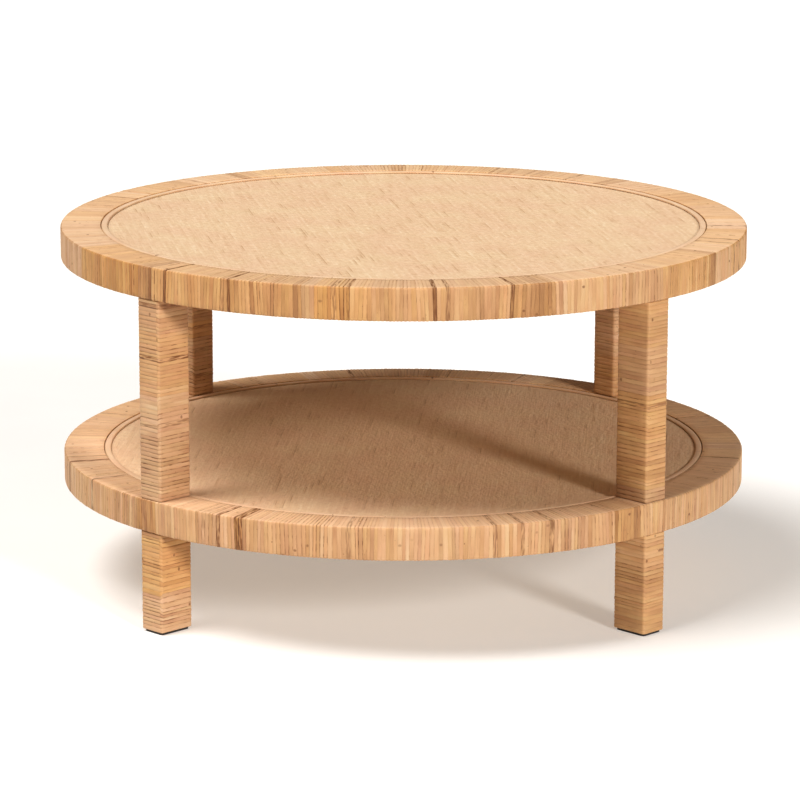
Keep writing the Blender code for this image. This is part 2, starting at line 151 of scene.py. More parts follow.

# Woven mats
STRAND_PITCH = 3.4 * MM
STRAND_HEIGHT = 0.3 * MM
WARP_PLACES = (0.02, 0.3, 0.7)  # grid lines of one strand, from 0 to 1
WEFT_PLACES = (0.05, 0.55)
FLOAT_LENGTH = 3  # a warp strand passes over two weft strands and under the third
STRAND_FULLNESS = 0.5  # power of the sine that gives a strand's section
WARP_DIP = 0.55  # height of a warp strand where it goes under, as a share of its highest
WEFT_RISE = 0.75  # height of a weft strand, as a share of the warp's
WEFT_DIP = 0.6
WEFT_NUMBERS = 97  # weft numbers start again after this many, to fit between 0 and 1
MAT_BANDS = (-1.0, -0.3, 0.3, 1.0)  # edges, as shares of the radius: about as many strands in each
MAT_SHADE_WIDTH = 5.0 * MM  # painted shade: the mat is darkened over this width beside the bead
MAT_CLEARANCE = 0.1 * MM
TOP_SLANT = 10.0
SHELF_SLANT = -4.0

# Camera and lights
CAMERA_PLACE = (0.0042, -4.962, 1.3737)
CAMERA_LENS = 172.36  # millimetres, on a 36 mm sensor
CAMERA_PITCH = math.radians(12.98)
CAMERA_HEADING = math.radians(0.1)
CAMERA_ROLL = math.radians(0.1)
KEY_FROM = (-0.41, -0.17, 0.90)
KEY_SIZE = 31.0
KEY_ENERGY = 2.85
FILL_FROM = (0.50, -0.78, 0.37)
FILL_SIZE = 11.0
FILL_ENERGY = 2.05
WORLD_COLOUR = (1.0, 0.90, 0.79, 1.0)
WORLD_STRENGTH = 0.175
PICTURE_GAMMA = 0.8
FLOOR_REACH = 20.0
FLOOR_GLOW = 0.35

# Colours, and ramps of (level, colour)
CANE = [(0.0, (0.26, 0.11, 0.035)), (0.3, (0.49, 0.255, 0.097)),
        (0.6, (0.65, 0.372, 0.153)), (1.0, (0.77, 0.51, 0.25))]
CANE_BLEACH = [(0.0, (1.0, 0.98, 0.92)), (0.5, (1.0, 1.05, 1.25)), (1.0, (1.0, 1.12, 1.65))]
CANE_DRIFT = [(0.35, (1.01, 0.98, 1.0)), (0.65, (0.98, 1.01, 0.95))]
CANE_SHEEN_TINT = (1.25, 1.38, 1.62, 1.0)  # painted sheen: multiplies the colour of upper faces, to make them paler
CANE_SHEEN_COLOUR = (0.777, 0.55, 0.36, 1.0)  # painted sheen: the pale colour that upper faces tend to
CANE_STAIN = (0.22, 0.088, 0.028, 1.0)
CANE_GAP_SHADE = (0.40, 0.27, 0.16, 1.0)  # painted shade: multiplies the colour beside a gap
MAT = [(0.0, (0.63, 0.425, 0.26)), (0.3, (0.76, 0.543, 0.358)),
       (0.65, (0.83, 0.624, 0.436)), (1.0, (0.92, 0.76, 0.58))]
MAT_BLUSH = [(0.35, (1.005, 0.985, 0.985)), (0.65, (0.995, 1.01, 0.98))]
MAT_DASH = (0.46, 0.27, 0.13, 1.0)
WOOD = ((0.58, 0.39, 0.21), (0.42, 0.26, 0.13))  # light, dark
PLYWOOD = ((0.66, 0.49, 0.30), (0.52, 0.36, 0.20))
DOWEL = ((0.66, 0.48, 0.29), (0.55, 0.38, 0.21))
STEEL = ((0.60, 0.60, 0.62), (0.42, 0.42, 0.44))
PLASTIC = ((0.045, 0.036, 0.030), (0.022, 0.017, 0.014))
FLOOR = [(0.3, (0.66, 0.65, 0.635)), (0.7, (0.69, 0.68, 0.665))]
FLOOR_LIGHT = (1.0, 0.98, 0.95, 1.0)
WHITE = (1.0, 1.0, 1.0, 1.0)


# Points from the CAD


def node_points(name):
    """The corner points of a CAD node."""
    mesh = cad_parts[name].data
    points = np.empty(len(mesh.vertices) * 3)
    mesh.vertices.foreach_get("co", points)
    return points.reshape(-1, 3)


def radii(name):
    """The inner and outer radius of a node that is round about Z."""
    points = node_points(name)
    reach = np.hypot(points[:, 0], points[:, 1])
    return reach.min(), reach.max()


def turned(points, degrees):
    """Points turned about Z."""
    turn = math.radians(degrees)
    x = points[..., 0] * math.cos(turn) - points[..., 1] * math.sin(turn)
    y = points[..., 0] * math.sin(turn) + points[..., 1] * math.cos(turn)
    return np.stack([x, y, points[..., 2]], axis=-1)


# Meshes from grids of points


def grid_faces(rows, columns, wrap_rows, wrap_columns):
    """Vertex indices of the quads of a grid whose rows and columns may each close on themselves."""
    i = np.arange(rows if wrap_rows else rows - 1)[:, None]
    j = np.arange(columns if wrap_columns else columns - 1)[None, :]
    i_next = (i + 1) % rows
    j_next = (j + 1) % columns
    corners = [i * columns + j, i_next * columns + j, i_next * columns + j_next, i * columns + j_next]
    return np.stack(corners, axis=-1).reshape(-1, 4)


def new_piece(name, points, faces, material):
    """A smooth mesh object from points and quads."""
    mesh = bpy.data.meshes.new(name)
    mesh.from_pydata(points.reshape(-1, 3).tolist(), [], faces.tolist())
    mesh.materials.append(material)
    mesh.shade_smooth()
    piece = bpy.data.objects.new(name, mesh)
    bpy.context.collection.objects.link(piece)
    return piece


def set_coordinates(piece, corners):
    """Stores (across, along) at each face corner: strip number plus place across it, and metres."""
    layer = piece.data.uv_layers.new(name="Strands")
    layer.data.foreach_set("uv", corners.astype(np.float32).ravel())


def set_looks(piece, values):
    """Stores four numbers per face, which the materials read as a colour."""
    layer = piece.data.attributes.new("strand", "FLOAT_COLOR", "FACE")
    layer.data.foreach_set("color", values.astype(np.float32).ravel())


def install(piece, node):
    """Puts a finished piece on the table in place of a CAD node."""
    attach(piece, BODY)
    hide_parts(node)


def closed_skin(name, points, across, along, looks, material):
    """A closed shell from a grid of points that wraps both ways.

    points is (rows, columns, 3), and rows run across the strips. across is each row's strip number
    plus its place in the strip, along is metres at each point, and looks has one row per row."""
    rows, columns = points.shape[:2]
    piece = new_piece(name, points, grid_faces(rows, columns, True, True), material)
    following = np.roll(across, -1)
    across_next = np.where(following % 1.0 == 0.0, np.floor(across) + NEARLY_ONE, following)
    along_next = np.roll(along, -1, axis=1)
    along_next[:, -1] = along[:, -1]
    near = np.broadcast_to(across[:, None], (rows, columns))
    far = np.broadcast_to(across_next[:, None], (rows, columns))
    corners = np.stack([near, along, far, along, far, along_next, near, along_next], axis=-1)
    set_coordinates(piece, corners)
    set_looks(piece, np.repeat(looks, columns, axis=0))
    return piece


# Strips of split rattan


def strand_looks(count, random):
    """One row per strip: tone, paleness, stain and gap, 0 to 1. Gap sets how deep the gap beside it is
    and how much painted shade it gets.

    One length of cane makes several turns, so neighbouring strips share its tone."""
    looks = np.zeros((count, 4))
    start = 0
    while start < count:
        end = min(start + int(random.integers(*CANE_TURNS)), count)
        tone = random.normal(CANE_TONE, CANE_TONE_SPREAD)
        looks[start:end, TONE] = np.clip(tone, *CANE_TONE_LIMITS)
        looks[start:end, PALENESS] = random.beta(2.0, 2.0)
        looks[start:end, GAP] = random.uniform(*CANE_GAPS)
        start = end
    looks[:, TONE] += random.normal(0.0, STRIP_TONE_SPREAD, count)
    looks[:, PALENESS] += random.normal(0.0, STRIP_PALENESS_SPREAD, count)
    looks[:, GAP] += random.uniform(*STRIP_GAPS, count)
    stained = random.random(count) < STAINED_SHARE
    looks[stained, STAIN] = random.uniform(*STAINS, stained.sum())
    gaping = random.random(count) < GAPING_SHARE
    looks[gaping, GAP] = random.uniform(*WIDE_GAPS, gaping.sum())
    return np.clip(looks, 0.0, 1.0)


def apply_bands(looks, bands, random):
    """Gives the strips of a rim the shade of the band that they lie in."""
    degrees = 360.0 * np.arange(len(looks)) / len(looks)
    ends = [start for start, _ in bands[1:]] + [BANDS_END]
    for (start, shade), end in zip(bands, ends):
        inside = (degrees >= start) & (degrees < end)
        tone, paleness, stain = SHADES[shade]
        looks[inside, TONE] = tone + random.normal(0.0, BAND_TONE_SPREAD, inside.sum())
        looks[inside, PALENESS] = paleness + random.normal(0.0, BAND_PALENESS_SPREAD, inside.sum())
        looks[inside, STAIN] = np.maximum(looks[inside, STAIN], stain)
    return np.clip(looks, 0.0, 1.0)


def cane_starts(count, turn, random):
    """Metres along the cane where each strip's turn begins, with a new cane now and then."""
    fresh = random.random(count) < FRESH_SHARE
    skipped = np.where(fresh, random.uniform(0.0, FRESH_LENGTH, count), 0.0)
    return turn * np.arange(count) + np.cumsum(skipped)


def strip_edges(count, random):
    """Places of the strips' edges, from 0 to 1, with strips of slightly different widths."""
    widths = 1.0 + np.clip(random.normal(0.0, WIDTH_SPREAD, count), -WIDTH_LIMIT, WIDTH_LIMIT)
    return np.concatenate([[0.0], np.cumsum(widths)]) / widths.sum()


def strip_rows(gaps, random):
    """Rows across the strips: each one's place from 0 to 1, its strip number and its depth.

    A strip is crowned, so its edges lie lower than its middle, and no two lie at quite the same
    height or tilt. gaps has one number per strip, 0 to 1, for how deep the gap beside it is."""
    count = len(gaps)
    places = np.array([place for place, _ in STRIP_SECTION])
    depths = np.array([depth for _, depth in STRIP_SECTION]) * MM
    edges = strip_edges(count, random)
    number = np.arange(count)[:, None]
    place = edges[:-1, None] + np.diff(edges)[:, None] * places
    lift = random.normal(0.0, STRIP_LIFT, (count, 1))
    tilt = random.normal(0.0, STRIP_TILT, (count, 1))
    groove = np.where(places == 0.0, CLOSED_GROOVE + gaps[:, None], 1.0)
    height = depths * groove + (lift + tilt * (places - 0.5)) * (places > 0.0)
    return place.ravel(), (number + places).ravel(), height.ravel()


def arc(centre, radius, start, end, count):
    """Points and normals of an arc in a plane, from one angle to another."""
    angles = np.radians(np.linspace(start, end, count))
    normals = np.stack([np.cos(angles), np.sin(angles)], axis=-1)
    return np.array(centre) + radius * normals, normals


def straight(start, end, normal, count):
    """Points strictly between two ends of a straight run, with one normal."""
    share = np.linspace(0.0, 1.0, count + 2)[1:-1, None]
    points = np.array(start) * (1 - share) + np.array(end) * share
    return points, np.tile(normal, (count, 1))


def path_lengths(points):
    """Metres along a path, from its first point."""
    steps = np.linalg.norm(np.diff(points, axis=0), axis=1)
    return np.concatenate([[0.0], np.cumsum(steps)])


def smooth_noise(count, waves, random):
    """A closed curve of small waves, about -1 to 1, sampled count times."""
    turn = np.linspace(0.0, 2 * math.pi, count, endpoint=False)
    total = np.zeros(count)
    for wave in range(1, waves + 1):
        size = random.normal() / math.sqrt(waves)
        total += size * np.sin(wave * turn + random.uniform(0, 2 * math.pi))
    return total


def rim_section(inner_top, inner_bottom, outer, top, bottom):
    """The path of one strip over a rim, as (radius, height) points, with their normals.

    It turns down at the rim's inner edge, crosses the upper face, goes down the outer face and
    comes back underneath. The last four points run back inside, to close the wrapping."""
    radius = RIM_CORNER
    lip = radius / 3
    tuck = radius / 4
    runs = [
        arc((inner_top + lip, top - lip), lip, 180, 100, LIP_ROWS),
        straight((inner_top + radius, top), (outer - radius, top), (0, 1), FACE_ROWS),
        arc((outer - radius, top - radius), radius, 90, 0, CORNER_ROWS),
        straight((outer, top - radius), (outer, bottom + radius), (1, 0), FACE_ROWS),
        arc((outer - radius, bottom + radius), radius, 0, -90, CORNER_ROWS),
        straight((outer - radius, bottom), (inner_bottom, bottom), (0, -1), UNDER_ROWS),
        arc((inner_bottom + tuck, bottom + tuck), tuck, -90, -180, UNDER_ROWS),
    ]
    inside = [
        (inner_bottom, bottom + WRAP),
        (outer - WRAP, bottom + WRAP),
        (outer - WRAP, top - WRAP),
        (inner_top, top - WRAP),
    ]
    points = np.concatenate([run[0] for run in runs] + [np.array(inside)])
    normals = np.concatenate([run[1] for run in runs] + [np.zeros((len(inside), 2))])
    return points, normals


def rim_strips(deck, bands, seed, material):
    """The wrapping of one deck's rim, in place of its CAD solid."""
    random = np.random.default_rng(seed)
    node = deck + "_rim_wrap"
    low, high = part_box(node)
    inner, outer = radii(node)
    bead_outer = radii(deck + "_bead_ring")[1]
    start = bead_outer + RIM_GAP
    section, normals = rim_section(start, inner, outer - SKIN, high[2] - SKIN, low[2])
    looks = apply_bands(strand_looks(RIM_STRIPS, random), bands, random)
    place, across, height = strip_rows(looks[:, GAP], random)
    lean = smooth_noise(len(place), LEAN_WAVES, random) * STRIP_LEAN / outer
    drop = (section[:, 1] - high[2]) / (low[2] - high[2])
    angle = 2 * math.pi * place[:, None] + lean[:, None] * drop[None, :]
    radial = section[None, :, 0] + height[:, None] * normals[None, :, 0]
    upward = section[None, :, 1] + height[:, None] * normals[None, :, 1]
    points = np.stack([radial * np.cos(angle), radial * np.sin(angle), upward], axis=-1)
    strip = np.floor(across).astype(int)
    lengths = path_lengths(section)
    along = lengths[None, :] + cane_starts(RIM_STRIPS, lengths[-1], random)[strip][:, None]
    name = deck + "_rim_strips"
    piece = closed_skin(name, points[:, ::-1], across, along[:, ::-1], looks[strip], material)
    install(piece, node)


def leg_section(depth, width):
    """The path of one turn round a leg, in the leg's own frame, with its normals."""
    half_x = depth / 2 - LEG_CORNER
    half_y = width / 2 - LEG_CORNER
    signs = [(1, 1), (-1, 1), (-1, -1), (1, -1)]
    points = []
    normals = []
    for quarter, (sx, sy) in enumerate(signs):
        start = 90.0 * quarter
        corner, facing = arc((sx * half_x, sy * half_y), LEG_CORNER, start, start + 90.0, CORNER_ROWS)
        next_x, next_y = signs[(quarter + 1) % 4]
        run = np.array([(next_x - sx) * half_x, (next_y - sy) * half_y])
        face, face_normals = straight(corner[-1], corner[-1] + run, facing[-1], LEG_FACE_ROWS)
        points += [corner, face]
        normals += [facing, face_normals]
    return np.concatenate(points), np.concatenate(normals)


def turn_slopes(place, normals, random):
    """How far the strips rise and fall round a leg, as wound by hand, and level at its ends."""
    facing = np.arctan2(normals[:, 1], normals[:, 0])
    steep = random.normal(0.0, LEG_SLOPE, SLOPE_KNOTS)
    towards = random.uniform(-HEADING_LIMIT, HEADING_LIMIT, HEADING_KNOTS)
    slope = np.interp(place, np.linspace(0, 1, SLOPE_KNOTS), steep)
    heading = np.interp(place, np.linspace(0, 1, HEADING_KNOTS), towards)
    ends = np.clip(np.minimum(place, 1.0 - place) * LEVEL_SHARE, 0.0, 1.0)
    return (slope * ends)[:, None] * np.cos(facing[None, :] - heading[:, None])


def leg_looks(count, random):
    """Looks of a leg's strips: more even, with deeper gaps and more painted shade between, and paler
    than a rim's.
    """
    looks = strand_looks(count, random)
    looks[:, TONE] = CANE_TONE + LEG_EVENNESS * (looks[:, TONE] - CANE_TONE)
    looks[:, PALENESS] = np.minimum(looks[:, PALENESS] + LEG_PALENESS, 1.0)
    looks[:, GAP] = np.minimum(looks[:, GAP] + LEG_GAPS, 1.0)
    return looks


def leg_surface(section, normals, place, height, bottom, top, random):
    """Rows of points round a leg, from its bottom up, then down its inner wall."""
    level = bottom + place[:, None] * (top - bottom) + turn_slopes(place, normals, random)
    outer = section[None] + height[:, None, None] * normals[None]
    sheet = np.concatenate([outer, level[..., None]], axis=-1)
    inner = section - normals * LEG_WRAP
    wall = np.stack([np.column_stack([inner, np.full(len(inner), z)]) for z in (top, bottom)])
    return np.concatenate([sheet, wall])


def leg_turns(part, corner, seed, material):
    """The wrapping of one leg, above or below the shelf, in place of its CAD solid."""
    random = np.random.default_rng(seed)
    node = f"leg_wrap_{part}_{corner}"
    box = turned(node_points(node), -CORNERS[corner])
    low = box.min(axis=0)
    high = box.max(axis=0)
    section, normals = leg_section(high[0] - low[0], high[1] - low[1])
    section = section - normals * SKIN
    count = round((high[2] - low[2]) / LEG_PITCH)
    looks = leg_looks(count, random)
    place, across, height = strip_rows(looks[:, GAP], random)
    place = np.append(place, 1.0)
    height = np.append(height, height[0])
    last = count - 1 + NEARLY_ONE
    across = np.append(across, [last, last, 0.0])
    points = leg_surface(section, normals, place, height, low[2], high[2], random)
    points[..., 0] += (low[0] + high[0]) / 2
    points = turned(points, CORNERS[corner])
    strip = np.floor(across).astype(int)
    lengths = path_lengths(np.vstack([section, section[:1]]))
    along = lengths[None, :-1] + cane_starts(count, lengths[-1], random)[strip][:, None]
    piece = closed_skin(f"leg_turns_{part}_{corner}", points, across, along, looks[strip], material)
    install(piece, node)


# Beads


def bead(deck, seed, material):
    """The half-round bead between a rim and its mat."""
    random = np.random.default_rng(seed)
    node = deck + "_bead_ring"
    low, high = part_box(node)
    inner, outer = radii(node)
    half = (outer - inner) / 2 - BEAD_CLEARANCE
    centre = (inner + outer) / 2
    angles = np.linspace(0.0, math.pi, BEAD_SIDES)
    turn = np.linspace(0.0, 2 * math.pi, BEAD_STEPS, endpoint=False)
    swell = 1.0 + BEAD_SWELL * smooth_noise(BEAD_STEPS, SWELL_WAVES, random)
    tall = BEAD_HEIGHT + BEAD_WAVINESS * smooth_noise(BEAD_STEPS, HEIGHT_WAVES, random)
    radial = centre + (half * swell)[:, None] * np.cos(angles)[None]
    level = low[2] + (high[2] - low[2]) * tall[:, None] * np.sin(angles)[None] ** BEAD_FULLNESS
    points = np.stack([radial * np.cos(turn)[:, None], radial * np.sin(turn)[:, None], level], axis=-1)
    piece = new_piece(deck + "_bead", points, grid_faces(BEAD_STEPS, BEAD_SIDES, True, True), material)
    set_bead_coordinates(piece, turn * centre, centre * 2 * math.pi / BEAD_STEPS)
    # the bead's looks include a painted highlight
    set_looks(piece, np.tile(BEAD_LOOKS_AND_HIGHLIGHT, (len(piece.data.polygons), 1)))
    install(piece, node)


def set_bead_coordinates(piece, lengths, step):
    """Stores a bead's places: across its section, and the metres along it."""
    shape = (BEAD_STEPS, BEAD_SIDES)
    side = np.broadcast_to(np.linspace(0.0, NEARLY_ONE, BEAD_SIDES)[None], shape)
    side_next = np.roll(side, -1, axis=1)
    there = np.broadcast_to(lengths[:, None], shape)
    beyond = there + step
    corners = [side, there, side, beyond, side_next, beyond, side_next, there]
    set_coordinates(piece, np.stack(corners, axis=-1))


# Woven mats


def woven_height(warp, weft):
    """Height of the weave, 0 to 1, and whether a warp strand lies on top.

    warp and weft are places in strand widths. A warp strand passes over FLOAT_LENGTH - 1 weft
    strands and under one, and its neighbour does the same one strand further on."""
    column = np.floor(warp)
    row = np.floor(weft)
    under = (row + column) % FLOAT_LENGTH == 0
    across_warp = np.sin(math.pi * (warp - column)) ** STRAND_FULLNESS
    across_weft = np.sin(math.pi * (weft - row)) ** STRAND_FULLNESS
    phase = (weft + column) % FLOAT_LENGTH
    over = np.clip((phase - 1.0) / (FLOAT_LENGTH - 1.0), 0.0, 1.0)
    bow = np.sin(math.pi * over) ** STRAND_FULLNESS
    warp_height = across_warp * (WARP_DIP + (1.0 - WARP_DIP) * bow)
    weft_height = WEFT_RISE * across_weft * (WEFT_DIP + (1.0 - WEFT_DIP) * across_warp)
    return np.where(under, weft_height, warp_height), ~under


def weave_grid(radius, limits):
    """Warp and weft places of the points of one band of a mat, and its faces.

    limits are the first and last warp strand. Faces with two corners or more inside the radius
    are kept, and points that none of them uses are left out."""
    reach = int(radius / STRAND_PITCH) + 2
    warp_lines = (np.arange(limits[0], limits[1])[:, None] + np.array(WARP_PLACES)).ravel()
    warp_lines = np.append(warp_lines, limits[1] + WARP_PLACES[0])
    weft_lines = (np.arange(-reach, reach)[:, None] + np.array(WEFT_PLACES)).ravel()
    warp, weft = np.meshgrid(warp_lines, weft_lines, indexing="ij")
    faces = grid_faces(len(warp_lines), len(weft_lines), False, False)
    inside = np.hypot(warp, weft).ravel() * STRAND_PITCH < radius
    faces = faces[inside[faces].sum(axis=1) >= 2]
    used, faces = np.unique(faces, return_inverse=True)
    return warp.ravel()[used], weft.ravel()[used], faces.reshape(-1, 4)


def set_weave(piece, warp, weft, radius):
    """Stores each face's strand coordinates, and its looks: warp on top or not, weft number, and how
    near the bead it is, which sets the painted shade beside the bead."""
    centre_warp = warp.mean(axis=1)
    centre_weft = weft.mean(axis=1)
    number = np.floor(centre_warp)
    corner_warp = number[:, None] + np.clip(warp - number[:, None], 0, NEARLY_ONE)
    set_coordinates(piece, np.stack([corner_warp, weft * STRAND_PITCH], axis=-1))
    _, over = woven_height(centre_warp, centre_weft)
    reach = np.hypot(centre_warp, centre_weft) * STRAND_PITCH
    # how far into the painted shade beside the bead a face lies, 0 to 1
    edge = np.clip((reach - radius) / MAT_SHADE_WIDTH + 1.0, 0.0, 1.0)
    weft_number = np.floor(centre_weft) % WEFT_NUMBERS / WEFT_NUMBERS
    set_looks(piece, np.stack([over, weft_number, edge, np.zeros(len(edge))], axis=-1))


def close_underneath(piece, level):
    """Adds a wall down from an open sheet's edge, and a flat underside."""
    shape = bmesh.new()
    shape.from_mesh(piece.data)
    edges = [edge for edge in shape.edges if edge.is_boundary]
    for edge in edges:
        edge.smooth = False
    wall = bmesh.ops.extrude_edge_only(shape, edges=edges)["geom"]
    for item in wall:
        if isinstance(item, bmesh.types.BMVert):
            item.co.z = level
    rim = [edge for edge in shape.edges if edge.is_boundary]
    bmesh.ops.holes_fill(shape, edges=rim)
    bmesh.ops.recalc_face_normals(shape, faces=shape.faces)
    shape.to_mesh(piece.data)
    shape.free()


def woven_mat(deck, slant, material):
    """A deck's woven mat, in bands, in place of its CAD solid. slant turns its strands."""
    node = deck + "_woven_mat"
    low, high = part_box(node)
    radius = radii(deck + "_bead_ring")[0] - MAT_CLEARANCE
    reach = int(radius / STRAND_PITCH) + 1
    limits = (np.array(MAT_BANDS) * reach).astype(int)
    for index in range(len(limits) - 1):
        warp, weft, faces = weave_grid(radius, (limits[index], limits[index + 1]))
        flat = np.stack([warp, weft], axis=-1) * STRAND_PITCH
        flat *= np.minimum(1.0, radius / np.maximum(np.linalg.norm(flat, axis=-1), MM))[:, None]
        height, _ = woven_height(warp, weft)
        points = turned(np.column_stack([flat, high[2] - STRAND_HEIGHT * (1.0 - height)]), slant)
        piece = new_piece(f"{deck}_mat_band_{index + 1}", points, faces, material)
        set_weave(piece, warp[faces], weft[faces], radius)
        close_underneath(piece, low[2])
        install(piece, node)


# Materials


class Graph:
    """A material's node tree, with short calls for the nodes used here."""

    def __init__(self, name):
        self.material = bpy.data.materials.new(name)
        self.material.use_nodes = True
        self.tree = self.material.node_tree
        self.shader = self.tree.nodes["Principled BSDF"]

    def add(self, kind, inputs, **settings):
        """A new node, with its inputs fed by number or name and its settings set."""
        node = self.tree.nodes.new(kind)
        for key, value in settings.items():
            setattr(node, key, value)
        for key, value in inputs.items():
            self.feed(node.inputs[key], value)
        return node

    def feed(self, socket, value):
        """Links another node's output to a socket, or sets the socket's own value."""
        if isinstance(value, bpy.types.NodeSocket):
            self.tree.links.new(value, socket)
        else:
            socket.default_value = value

    def set(self, **sockets):
        """Feeds the shader's own sockets. An underscore in a name stands for a space."""
        for name, value in sockets.items():
            self.feed(self.shader.inputs[name.replace("_", " ")], value)

    def math(self, operation, a, b=0.0):
        return self.add("ShaderNodeMath", {0: a, 1: b}, operation=operation).outputs[0]

    def times(self, a, b):
        return self.math("MULTIPLY", a, b)

    def plus(self, a, b):
        return self.math("ADD", a, b)

    def vary(self, level, source, amount):
        """A level plus amount times how far source lies from a half."""
        return self.plus(level, self.times(self.math("SUBTRACT", source, 0.5), amount))

    def mix(self, factor, a, b, blend="MIX"):
        inputs = {0: factor, 6: a, 7: b}
        return self.add("ShaderNodeMix", inputs, data_type="RGBA", blend_type=blend).outputs[2]

    def tint(self, colour, other):
        """Two colours multiplied."""
        return self.mix(1.0, colour, other, "MULTIPLY")

    def scale(self, colour, factor):
        """A colour times a number."""
        return self.tint(colour, self.vector(factor, factor, factor))

    def vector(self, x, y, z=0.0):
        return self.add("ShaderNodeCombineXYZ", {0: x, 1: y, 2: z}).outputs[0]

    def noise(self, vector, scale=1.0, detail=2.0, roughness=0.5):
        inputs = {"Vector": vector, "Scale": scale, "Detail": detail, "Roughness": roughness}
        return self.add("ShaderNodeTexNoise", inputs).outputs[0]

    def random(self, value):
        return self.add("ShaderNodeTexWhiteNoise", {"W": value}, noise_dimensions="1D").outputs[0]

    def remap(self, value, low, high, to_low=0.0, to_high=1.0):
        inputs = {0: value, 1: low, 2: high, 3: to_low, 4: to_high}
        return self.add("ShaderNodeMapRange", inputs, interpolation_type="SMOOTHSTEP").outputs[0]

    def ramp(self, factor, stops):
        node = self.add("ShaderNodeValToRGB", {0: factor})
        elements = node.color_ramp.elements
        while len(elements) < len(stops):
            elements.new(1.0)
        for element, (position, colour) in zip(elements, stops):
            element.position = position
            element.color = (*colour, 1.0)
        return node.outputs[0]

    def bump(self, height, strength, distance):
        inputs = {"Height": height, "Strength": strength, "Distance": distance}
        self.set(Normal=self.add("ShaderNodeBump", inputs).outputs[0])

    def strand(self):
        """A strip's four looks, the place across it from 0 to 1, its number and metres along it."""
        looks = self.add("ShaderNodeAttribute", {}, attribute_name="strand")
        split = self.add("ShaderNodeSeparateColor", {0: looks.outputs["Color"]})
        place = self.add("ShaderNodeUVMap", {}, uv_map="Strands").outputs[0]
        parts = self.add("ShaderNodeSeparateXYZ", {0: place})
        across = self.math("FRACT", parts.outputs[0])
        return SimpleNamespace(
            looks=(*split.outputs[:3], looks.outputs["Alpha"]),
            across=across,
            side=self.math("ABSOLUTE", self.math("SUBTRACT", across, 0.5)),
            number=self.math("FLOOR", parts.outputs[0]),
            along=parts.outputs[1],
        )


def rattan_material(name):
    """Split rattan: tone and paleness by strip, long fibres, cane joints, stains, painted shade in the
    gaps and painted sheen on upper faces.

    Here and below, noise is stretched along the strip, and its rate along it is per metre."""
    graph = Graph(name)
    strand = graph.strand()
    tone, paleness, stain, gap = strand.looks
    seed = graph.times(strand.number, 7.31)
    wide = graph.plus(graph.times(strand.across, 7.0), seed)
    fibres = graph.noise(graph.vector(wide, graph.times(strand.along, 40.0)), 1.0, 3.0, 0.6)
    cloud = graph.noise(graph.vector(seed, graph.times(strand.along, 14.0)), 1.0, 2.0)
    place = graph.vector(graph.times(strand.number, 0.16), graph.times(strand.along, 12.0))
    drift = graph.noise(place, 1.0, 2.0)
    level = graph.vary(tone, fibres, 0.5)
    level = graph.vary(level, cloud, 0.6)
    level = graph.vary(level, drift, 0.4)
    colour = cane_colour(graph, level, paleness, drift)
    blot = graph.math("MAXIMUM", strip_stains(graph, strand, stain), joint_marks(graph, strand))
    colour = graph.mix(blot, colour, CANE_STAIN)
    # painted shade beside each strip's gap
    shaded = graph.tint(colour, CANE_GAP_SHADE)
    colour = graph.mix(gap_shade(graph, strand, gap), colour, shaded)
    graph.set(Base_Color=colour, Roughness=graph.remap(fibres, 0.2, 0.8, 0.42, 0.62))
    graph.bump(fibres, 0.35, 0.4 * MM)
    return graph.material


def cane_colour(graph, level, paleness, drift):
    """The cane's own colour, with painted sheen: upper faces are painted paler and more alike."""
    colour = graph.tint(graph.ramp(level, CANE), graph.ramp(paleness, CANE_BLEACH))
    colour = graph.tint(colour, graph.ramp(drift, CANE_DRIFT))
    facing = graph.add("ShaderNodeTexCoord", {}).outputs["Normal"]
    upward = graph.add("ShaderNodeSeparateXYZ", {0: facing}).outputs[2]
    # painted sheen: upper faces are made paler and more alike
    with_sheen = graph.mix(0.55, graph.tint(colour, CANE_SHEEN_TINT), CANE_SHEEN_COLOUR)
    return graph.mix(graph.remap(upward, 0.72, 1.0), colour, with_sheen)


def strip_stains(graph, strand, stain):
    """Long dirty streaks on stained strips, and a small dark spot here and there on any."""
    sideways = graph.plus(graph.times(strand.across, 3.0), strand.number)
    place = graph.vector(sideways, graph.times(strand.along, 55.0), 4.0)
    streak = graph.times(stain, graph.remap(graph.noise(place), 0.38, 0.62))
    sideways = graph.plus(graph.times(strand.across, 1.6), graph.times(strand.number, 2.0))
    place = graph.vector(sideways, graph.times(strand.along, 260.0), 9.0)
    spot = graph.remap(graph.noise(place, 1.0, 1.0), 0.74, 0.82, 0.0, 0.8)
    return graph.math("MAXIMUM", streak, spot)


def joint_marks(graph, strand):
    """Ragged brown knots where the cane had its joints. About half of them don't show."""
    turn = graph.math("DIVIDE", strand.along, JOINT_SPACING)
    off = graph.math("SUBTRACT", graph.math("FRACT", turn), 0.5)
    off = graph.times(off, JOINT_SPACING / JOINT_LENGTH)
    side = graph.times(strand.side, 2.1)
    reach = graph.plus(graph.times(off, off), graph.times(side, side))
    length = graph.times(strand.along, 900.0)
    place = graph.vector(graph.times(strand.across, 3.0), length, strand.number)
    ragged = graph.noise(place, 1.0, 1.0)
    knot = graph.remap(graph.plus(reach, graph.times(ragged, 0.9)), 0.45, 1.5, 1.0, 0.0)
    some = graph.random(graph.plus(graph.math("FLOOR", turn), graph.times(strand.number, 0.37)))
    return graph.times(knot, graph.remap(some, 0.55, 1.0, 0.0, 0.85))


def gap_shade(graph, strand, gap):
    """Painted shade on a strip beside its gap: a little all along, and more where the gap opens."""
    place = graph.vector(graph.times(strand.number, 3.7), graph.times(strand.along, 90.0))
    opened = graph.times(graph.remap(graph.noise(place, 1.0, 1.0), 0.48, 0.62), gap)
    shade = graph.plus(0.05, graph.plus(graph.times(gap, 0.22), graph.times(opened, 0.9)))
    return graph.times(shade, graph.remap(strand.side, 0.28, 0.5))


